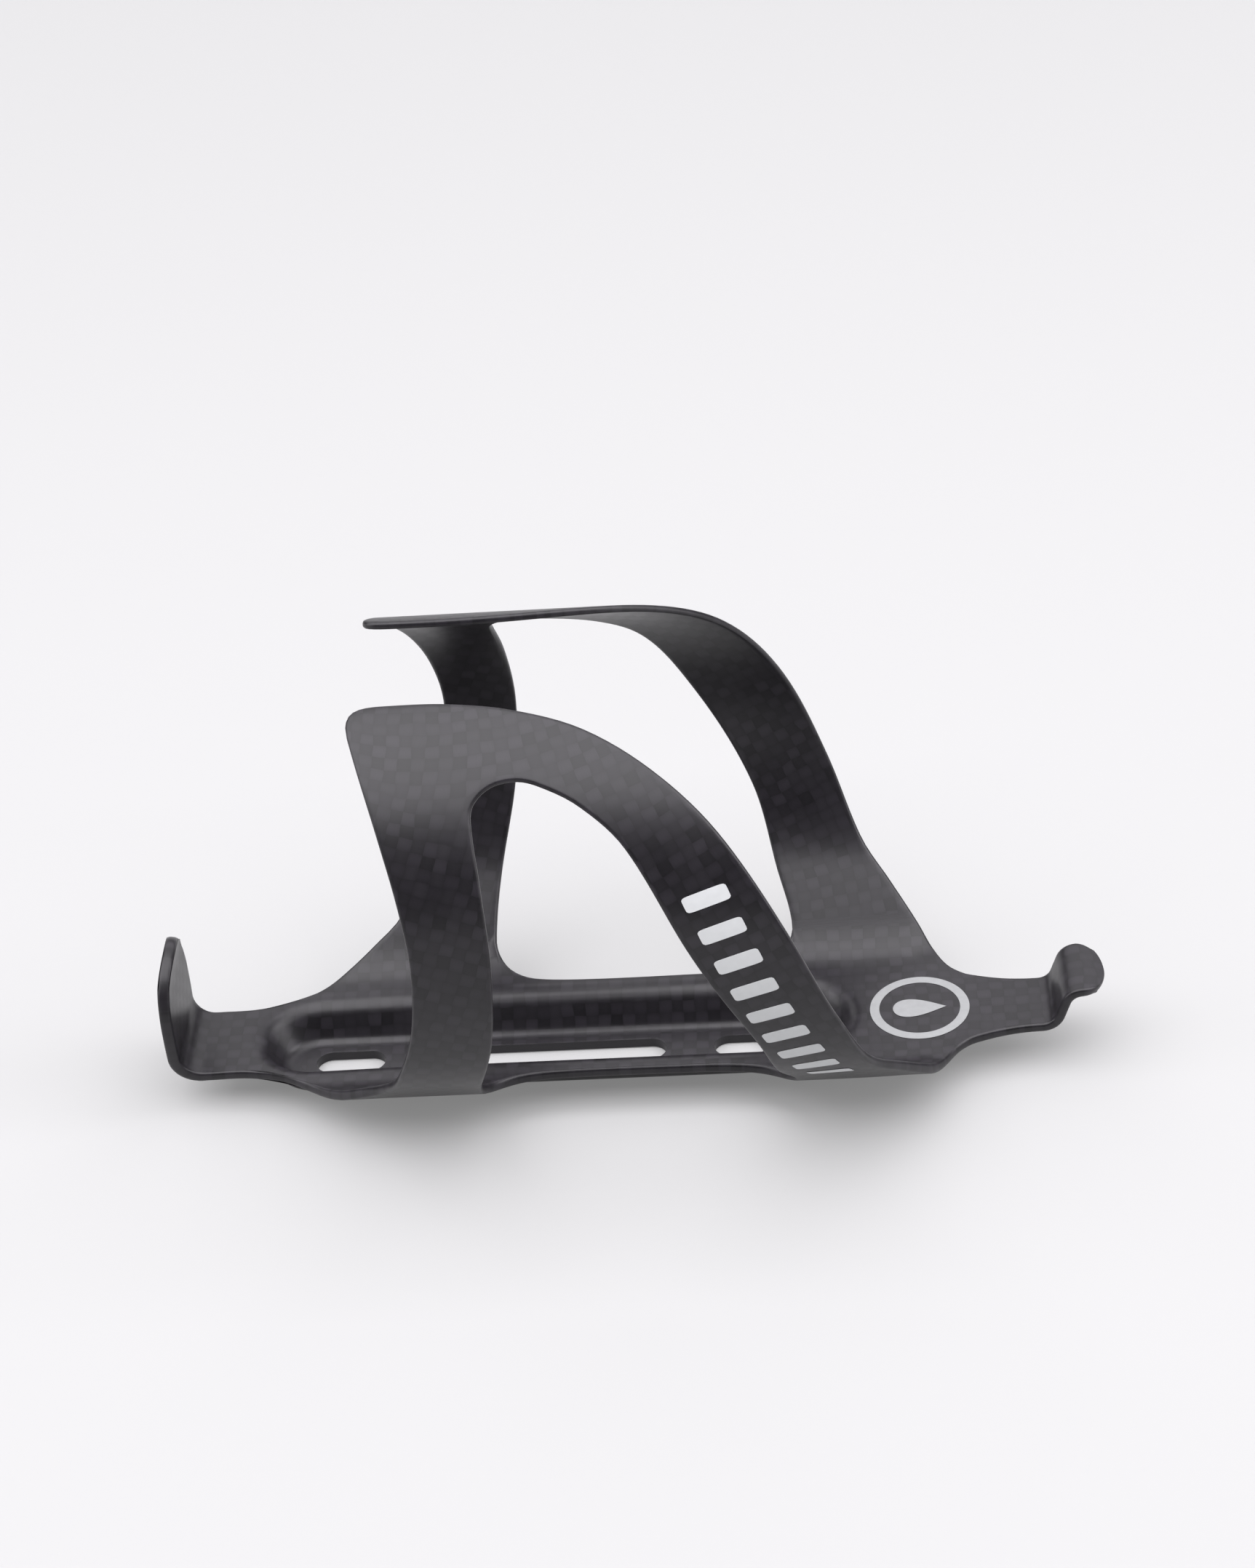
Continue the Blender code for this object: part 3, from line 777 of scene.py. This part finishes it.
def cut_piece(mesh, part, name):
    """One part of the shell, keeping the whole shell's shading where it was cut."""
    corner_normals = np.zeros(len(mesh.loops) * 3, np.float32)
    mesh.corner_normals.foreach_get("vector", corner_normals)
    corner_normals = corner_normals.reshape(-1, 3)
    uv = mesh.uv_layers["cloth"].data
    numbers = {}
    points = []
    faces = []
    normals = []
    cloth = []
    for polygon in mesh.polygons:
        if polygon.material_index != part:
            continue
        face = []
        for loop in polygon.loop_indices:
            vertex = mesh.loops[loop].vertex_index
            if vertex not in numbers:
                numbers[vertex] = len(points)
                points.append(mesh.vertices[vertex].co.copy())
            face.append(numbers[vertex])
            normals.append(corner_normals[loop])
            cloth.append(tuple(uv[loop].uv))
        faces.append(face)
    piece = bpy.data.meshes.new(name)
    piece.from_pydata(points, [], faces)
    layer = piece.uv_layers.new(name="cloth")
    for index, pair in enumerate(cloth):
        layer.data[index].uv = pair
    piece.shade_smooth()
    piece.normals_split_custom_set([tuple(normal) for normal in normals])
    item = bpy.data.objects.new(name, piece)
    bpy.context.scene.collection.objects.link(item)
    return item


# ---------------------------------------------------------------- printed marks
PRINT_LIFT = 0.02
PRINT_THICKNESS = 0.05
PLATE_PRINT_FOOT = PLATE_HEIGHT + PLATE_THICKNESS / 2 + PRINT_LIFT
PLATE_PRINT_HEIGHTS = (PLATE_PRINT_FOOT, PLATE_PRINT_FOOT + PRINT_THICKNESS)
CORNER_POWER = 8

# Bars on the arms, as (along, run) over the sheet, from the top one down.
MARKS_TOP_RUN = 72.0
MARKS_TOP_ALONG = 14.7
MARKS_RUN_SPAN = 41.0
MARKS_LEAN = 0.405
MARK_ACROSS = (6.6, 2.2)
MARK_DOWN = (0.95, -2.35)
MARK_COLUMNS = 8
MARK_ROWS = 14

# The badge: a ring and a drop round one centre on the plate.
BADGE_CENTRE = 46.0
RING_RADII = (8.0, 6.5)
RING_STEPS = 96
DROP_HALF_LENGTH = 4.3
DROP_HALF_WIDTH = 3.1
DROP_SHARPNESS = 1.3
DROP_STEPS = 64


def printed_solid(name, place, rows, columns):
    """A thin print: place(u, v, lift) gives points over the unit square."""
    points = []
    for lift in (PRINT_LIFT, PRINT_LIFT + PRINT_THICKNESS):
        for row in range(rows + 1):
            for column in range(columns + 1):
                points.append(place(column / columns, row / rows, lift) * MM)
    count = (rows + 1) * (columns + 1)
    faces = []
    for row in range(rows):
        for column in range(columns):
            a = row * (columns + 1) + column
            face = (a, a + 1, a + columns + 2, a + columns + 1)
            faces.append(face[::-1])
            faces.append(tuple(v + count for v in face))
    rim = list(range(columns + 1))
    rim += [row * (columns + 1) + columns for row in range(1, rows + 1)]
    rim += [rows * (columns + 1) + column for column in range(columns - 1, -1, -1)]
    rim += [row * (columns + 1) for row in range(rows - 1, 0, -1)]
    for a, b in zip(rim, rim[1:] + rim[:1]):
        faces.append((a, b, b + count, a + count))
    return mesh_object(name, points, faces)


def rounded_square(u, v):
    """The unit square, about its middle, with its corners rounded."""
    x, y = (2 * u - 1), (2 * v - 1)
    size = (abs(x) ** CORNER_POWER + abs(y) ** CORNER_POWER) ** (1 / CORNER_POWER)
    largest = max(abs(x), abs(y))
    scale = largest / size if size > 0 else 1.0
    return x * scale / 2, y * scale / 2


def arm_mark(name, sign, index, count):
    run = MARKS_TOP_RUN - MARKS_RUN_SPAN * index / (count - 1)
    along = MARKS_TOP_ALONG + (MARKS_TOP_RUN - run) * MARKS_LEAN
    across = np.array(MARK_ACROSS)
    down = np.array(MARK_DOWN)

    def place(u, v, lift):
        x, y = rounded_square(u, v)
        spot = np.array((along, run)) + across * x + down * y
        outward = shell_thickness(spot[1]) / 2 + lift
        return shell_point(spot[0], sign * spot[1], outward)

    return printed_solid(name, place, MARK_COLUMNS, MARK_ROWS)


def ring_print(name):
    points = []
    for step in range(RING_STEPS):
        angle = 2 * math.pi * step / RING_STEPS
        for radius in RING_RADII:
            for height in PLATE_PRINT_HEIGHTS:
                x, y = BADGE_CENTRE + radius * math.cos(angle), radius * math.sin(angle)
                points.append((x * MM, y * MM, (height + plate_rise(x)) * MM))
    faces = []
    for step in range(RING_STEPS):
        a, b = 4 * step, 4 * ((step + 1) % RING_STEPS)
        for first, second in ((0, 1), (1, 3), (3, 2), (2, 0)):
            faces.append((a + first, a + second, b + second, b + first))
    item = mesh_object(name, points, faces)
    item.data.set_sharp_from_angle(angle=SHARP_ANGLE)
    return item


def drop_print(name):
    outline = []
    for step in range(DROP_STEPS):
        angle = 2 * math.pi * step / DROP_STEPS
        side = DROP_HALF_WIDTH * math.sin(angle) * math.sin(angle / 2) ** DROP_SHARPNESS
        outline.append((BADGE_CENTRE + DROP_HALF_LENGTH * math.cos(angle), side))
    points = []
    for z in PLATE_PRINT_HEIGHTS:
        points += [(x * MM, y * MM, (z + plate_rise(x)) * MM) for x, y in outline]
    item = mesh_object(name, points, prism_faces(len(outline)))
    item.data.set_sharp_from_angle(angle=SHARP_ANGLE)
    return item


# ---------------------------------------------------------------- materials
# The cloth's shade and roughness: a base, then what the warp, the speckle from one
# crossing to the next, the fibres, the haze and the tow's crown each add. The warp's lift
# is partly painted sheen, and the crown's darkening where a tow falls away is painted shade.
SHADE_BASE = 0.22
SPECKLE_SHADE = 0.5
FIBRE_SHADE = 0.35
HAZE_SHADE = 0.3
CROWN_PAINTED_SHADE = 0.4
ROUGHNESS_BASE = 0.33
WARP_ROUGHNESS = -0.015
SPECKLE_ROUGHNESS = 0.02
HAZE_ROUGHNESS = 0.05
COATING_IOR = 1.45
BUMP_STRENGTH = 0.15
BUMP_DISTANCE = 0.00002

# Scales of the noises over the cloth's millimetres, and the tows' waver in millimetres.
WAVER_SCALE = 0.22
WAVER_REACH = 0.9
HAZE_SCALE = 0.12
GRAIN_SCALE = 5.0
GRAIN_HEIGHT = 0.25
# A tow's crown falls off along the tow and, more sharply, at its two sides.
CROWN_LENGTH_FALL = -2.6
CROWN_SIDE_FALL = -5.0
# Stretch of the fibres' noise across and along a tow, and its step between tows.
FIBRE_ACROSS = 16.0
FIBRE_ALONG = 0.8
FIBRE_SHUFFLE = 3.7

# One ink in the real cage, given two whitenesses: the marks on the upright arms are painted
# lighter and the badge on the top-lit plate painted darker, to make up for the light each gets.
MARK_WHITENESS_PAINTED_LIGHTER = 0.55
BADGE_WHITENESS_PAINTED_DARKER = 0.23
INK_COLOUR = (0.97, 0.99, 1.0)
INK_SCALE = 900
INK_UNEVENNESS = 0.06
INK_ROUGHNESS = 0.5


def math_node(tree, operation, first, second=None, third=None):
    node = tree.nodes.new("ShaderNodeMath")
    node.operation = operation
    for index, value in enumerate((first, second, third)):
        if value is None:
            continue
        if isinstance(value, (int, float)):
            node.inputs[index].default_value = value
        else:
            tree.links.new(value, node.inputs[index])
    return node.outputs[0]


def noise_node(tree, place, scale, detail):
    node = tree.nodes.new("ShaderNodeTexNoise")
    node.inputs["Scale"].default_value = scale
    node.inputs["Detail"].default_value = detail
    tree.links.new(place, node.inputs["Vector"])
    return node


def carbon_material(name):
    """Satin-coated carbon cloth: a plain weave of flat tows, one over, one under."""
    material = bpy.data.materials.new(name)
    material.use_nodes = True
    tree = material.node_tree
    shader = tree.nodes["Principled BSDF"]
    cloth = tree.nodes.new("ShaderNodeUVMap")
    cloth.uv_map = "cloth"
    waver = noise_node(tree, cloth.outputs[0], WAVER_SCALE, 1)
    shift = tree.nodes.new("ShaderNodeVectorMath")
    shift.operation = "MULTIPLY_ADD"
    shift.inputs[1].default_value = (WAVER_REACH, WAVER_REACH, 0)
    tree.links.new(waver.outputs["Color"], shift.inputs[0])
    tree.links.new(cloth.outputs[0], shift.inputs[2])
    turn = tree.nodes.new("ShaderNodeMapping")
    turn.inputs["Scale"].default_value = (1 / TOW, 1 / TOW, 1)
    tree.links.new(shift.outputs[0], turn.inputs["Vector"])
    parts = tree.nodes.new("ShaderNodeSeparateXYZ")
    tree.links.new(turn.outputs[0], parts.inputs[0])
    column = math_node(tree, "FLOOR", parts.outputs[0])
    row = math_node(tree, "FLOOR", parts.outputs[1])
    both = math_node(tree, "ADD", column, row)
    warp_on_top = math_node(tree, "FLOORED_MODULO", both, 2)
    across = math_node(tree, "SUBTRACT", math_node(tree, "FRACT", parts.outputs[0]), 0.5)
    down = math_node(tree, "SUBTRACT", math_node(tree, "FRACT", parts.outputs[1]), 0.5)

    def pick(weft_value, warp_value):
        mix = tree.nodes.new("ShaderNodeMix")
        tree.links.new(warp_on_top, mix.inputs["Factor"])
        tree.links.new(weft_value, mix.inputs["A"])
        tree.links.new(warp_value, mix.inputs["B"])
        return mix.outputs[0]

    along_tow = pick(across, down)
    across_tow = pick(down, across)
    length_squared = math_node(tree, "MULTIPLY", along_tow, along_tow)
    width_squared = math_node(tree, "MULTIPLY", across_tow, across_tow)
    width_fourth = math_node(tree, "MULTIPLY", width_squared, width_squared)
    crown = math_node(tree, "MULTIPLY_ADD", length_squared, CROWN_LENGTH_FALL, 1.0)
    crown = math_node(tree, "MULTIPLY_ADD", width_fourth, CROWN_SIDE_FALL, crown)
    cell = tree.nodes.new("ShaderNodeCombineXYZ")
    tree.links.new(column, cell.inputs[0])
    tree.links.new(row, cell.inputs[1])
    speckle = tree.nodes.new("ShaderNodeTexWhiteNoise")
    speckle.noise_dimensions = "2D"
    tree.links.new(cell.outputs[0], speckle.inputs["Vector"])
    fibre_place = tree.nodes.new("ShaderNodeCombineXYZ")
    stretched = ((across_tow, FIBRE_ACROSS), (along_tow, FIBRE_ALONG), (both, FIBRE_SHUFFLE))
    for index, (value, scale) in enumerate(stretched):
        scaled = math_node(tree, "MULTIPLY", value, scale)
        tree.links.new(scaled, fibre_place.inputs[index])
    fibres = noise_node(tree, fibre_place.outputs[0], 1.0, 2)
    haze = noise_node(tree, cloth.outputs[0], HAZE_SCALE, 3)
    # The warp tows are lighter: the weave's pattern, with painted sheen from the fibres'
    # directional reflection.
    shade = math_node(tree, "MULTIPLY_ADD", warp_on_top, WEAVE_PATTERN_AND_SHEEN, SHADE_BASE)
    for source, amount in ((speckle, SPECKLE_SHADE), (fibres, FIBRE_SHADE), (haze, HAZE_SHADE)):
        shade = math_node(tree, "MULTIPLY_ADD", source.outputs[0], amount, shade)
    # Painted shade: the cloth is darkened where each tow's crown falls away at its sides and
    # ends.
    edge = math_node(tree, "MULTIPLY_ADD", crown, CROWN_PAINTED_SHADE, 1 - CROWN_PAINTED_SHADE)
    shade = math_node(tree, "MULTIPLY", shade, edge)
    tint = tree.nodes.new("ShaderNodeVectorMath")
    tint.operation = "SCALE"
    tint.inputs[0].default_value = CARBON_TONE
    tree.links.new(shade, tint.inputs["Scale"])
    tree.links.new(tint.outputs[0], shader.inputs["Base Color"])
    rough = math_node(tree, "MULTIPLY_ADD", warp_on_top, WARP_ROUGHNESS, ROUGHNESS_BASE)
    for source, amount in ((speckle, SPECKLE_ROUGHNESS), (haze, HAZE_ROUGHNESS)):
        rough = math_node(tree, "MULTIPLY_ADD", source.outputs[0], amount, rough)
    tree.links.new(rough, shader.inputs["Roughness"])
    grain = noise_node(tree, cloth.outputs[0], GRAIN_SCALE, 2)
    height = math_node(tree, "MULTIPLY_ADD", grain.outputs[0], GRAIN_HEIGHT, crown)
    bump = tree.nodes.new("ShaderNodeBump")
    bump.inputs["Strength"].default_value = BUMP_STRENGTH
    bump.inputs["Distance"].default_value = BUMP_DISTANCE
    tree.links.new(height, bump.inputs["Height"])
    tree.links.new(bump.outputs[0], shader.inputs["Normal"])
    shader.inputs["IOR"].default_value = COATING_IOR
    return material


def print_material(name, whiteness_with_painted_light):
    """Pale grey ink, faintly uneven; the whiteness passed in holds painted light and shade."""
    material = bpy.data.materials.new(name)
    material.use_nodes = True
    tree = material.node_tree
    shader = tree.nodes["Principled BSDF"]
    place = tree.nodes.new("ShaderNodeTexCoord")
    noise = noise_node(tree, place.outputs["Object"], INK_SCALE, 2)
    shade = math_node(tree, "MULTIPLY_ADD", noise.outputs[0], INK_UNEVENNESS, whiteness_with_painted_light)
    colour = tree.nodes.new("ShaderNodeVectorMath")
    colour.operation = "SCALE"
    colour.inputs[0].default_value = INK_COLOUR
    tree.links.new(shade, colour.inputs["Scale"])
    tree.links.new(colour.outputs[0], shader.inputs["Base Color"])
    shader.inputs["Roughness"].default_value = INK_ROUGHNESS
    return material


# ---------------------------------------------------------------- assembling
def make_pieces():
    mesh = finished_shell()
    carbon = carbon_material("carbon_cloth")
    # The same ink twice: the marks' copy painted lighter, the badge's copy painted darker.
    painted_lighter_ink = print_material("mark_ink_painted_lighter", MARK_WHITENESS_PAINTED_LIGHTER)
    badge_ink_painted_darker = print_material("badge_ink_painted_darker", BADGE_WHITENESS_PAINTED_DARKER)
    names = {
        SPINE: ("spine_shell", ("spine",), "spine_carbon"),
        STOP: ("bottom_stop_shell", ("bottom_stop",), "stop_carbon"),
        HOOK: ("top_hook_shell", ("top_hook",), "hook_carbon"),
        LEFT: ("left_wing_shell", ("left_wing",), "wing_carbon"),
        RIGHT: ("right_wing_shell", ("right_wing",), "wing_carbon"),
    }
    pieces = {}
    for part, (name, nodes, slot) in names.items():
        piece = cut_piece(mesh, part, name)
        piece.data.materials.append(carbon)
        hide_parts(*nodes)
        pieces[part] = piece
    bpy.data.meshes.remove(mesh)
    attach(pieces[SPINE], "spine_body")
    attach(pieces[STOP], "spine_body")
    for part, sign, body in ((LEFT, 1, "left_wing_body"), (RIGHT, -1, "right_wing_body")):
        start = shell_point(0, sign * SPLIT_RUN) * MM
        end = shell_point(0, sign * (SPLIT_RUN + WING_BEND_RUN)) * MM
        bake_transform(pieces[part])
    start = (HOOK_START * MM, 0, PLATE_HEIGHT * MM)
    end = ((HOOK_START + HOOK_BEND_RUN) * MM, 0, PLATE_HEIGHT * MM)
    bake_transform(pieces[HOOK])
    prints = [(ring_print("badge_ring_print"), "badge_ring", "spine_body")]
    prints.append((drop_print("badge_drop_print"), "badge_drop", "spine_body"))
    marks = sum(1 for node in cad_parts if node.startswith("left_mark_"))
    for side, sign in (("left", 1), ("right", -1)):
        for index in range(marks):
            node = side + "_mark_" + str(index + 1)
            mark = arm_mark(node + "_print", sign, index, marks)
            mark.data.set_sharp_from_angle(angle=SHARP_ANGLE)
            prints.append((mark, node, side + "_wing_body"))
    for item, node, body in prints:
        item.data.materials.append(badge_ink_painted_darker if body == "spine_body" else painted_lighter_ink)
        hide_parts(node)
        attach(item, body)


def make_stage():
    bpy.ops.mesh.primitive_plane_add(size=FLOOR_SIZE, location=(0, 0, FLOOR_LEVEL))
    floor = bpy.context.object
    floor.name = "floor"
    material = bpy.data.materials.new("pale_floor")
    material.use_nodes = True
    tree = material.node_tree
    shader = tree.nodes["Principled BSDF"]
    shader.inputs["Base Color"].default_value = FLOOR_COLOUR
    shader.inputs["Roughness"].default_value = 1.0
    shader.inputs["Specular IOR Level"].default_value = 0.0
    shader.inputs["Emission Color"].default_value = WHITE
    place = tree.nodes.new("ShaderNodeTexCoord")
    away = tree.nodes.new("ShaderNodeVectorMath")
    away.operation = "LENGTH"
    glow = tree.nodes.new("ShaderNodeMapRange")
    glow.interpolation_type = "SMOOTHSTEP"
    glow.inputs["From Min"].default_value = FLOOR_LIT_RADIUS
    glow.inputs["From Max"].default_value = FLOOR_FAR_RADIUS
    glow.inputs["To Min"].default_value = FLOOR_GLOW
    glow.inputs["To Max"].default_value = FLOOR_FAR_GLOW
    tree.links.new(place.outputs["Object"], away.inputs[0])
    tree.links.new(away.outputs["Value"], glow.inputs["Value"])
    tree.links.new(glow.outputs[0], shader.inputs["Emission Strength"])
    floor.data.materials.append(material)


def area_light(name, location, target, size, radiance):
    """A softbox of a given size and radiance, unseen by the camera itself."""
    data = bpy.data.lights.new(name, "AREA")
    data.shape = "RECTANGLE"
    data.size, data.size_y = size
    data.energy = radiance * math.pi * size[0] * size[1]
    data.color = LIGHT_COLOUR
    item = bpy.data.objects.new(name, data)
    item.location = location
    direction = Vector(target) - Vector(location)
    item.rotation_euler = direction.to_track_quat("-Z", "Y").to_euler()
    item.visible_camera = False
    bpy.context.scene.collection.objects.link(item)


def make_lights():
    for softbox in SOFTBOXES:
        area_light(*softbox)
    world = bpy.data.worlds.new("studio")
    bpy.context.scene.world = world
    world.use_nodes = True
    background = world.node_tree.nodes["Background"]
    background.inputs["Color"].default_value = WHITE
    background.inputs["Strength"].default_value = WORLD_GLOW
    bpy.context.scene.view_settings.view_transform = "Standard"


def make_camera():
    azimuth = math.radians(CAMERA_AZIMUTH)
    elevation = math.radians(CAMERA_ELEVATION)
    roll = math.radians(CAMERA_ROLL)
    ahead = Vector(
        (
            -math.sin(azimuth) * math.cos(elevation),
            math.cos(azimuth) * math.cos(elevation),
            -math.sin(elevation),
        )
    )
    right = Vector((math.cos(azimuth), math.sin(azimuth), 0))
    up = right.cross(ahead)
    rolled_right = right * math.cos(roll) + up * math.sin(roll)
    rolled_up = up * math.cos(roll) - right * math.sin(roll)
    data = bpy.data.cameras.new("camera")
    data.sensor_width = SENSOR_WIDTH
    data.lens = CAMERA_LENS
    data.shift_y = CAMERA_SHIFT
    data.clip_start = CAMERA_CLIP_START
    camera = bpy.data.objects.new("camera", data)
    turn = Matrix((rolled_right, rolled_up, -ahead)).transposed()
    camera.matrix_world = Matrix.Translation(CAMERA_PLACE) @ turn.to_4x4()
    bpy.context.scene.collection.objects.link(camera)
    bpy.context.scene.camera = camera


make_pieces()
make_stage()
make_lights()
make_camera()
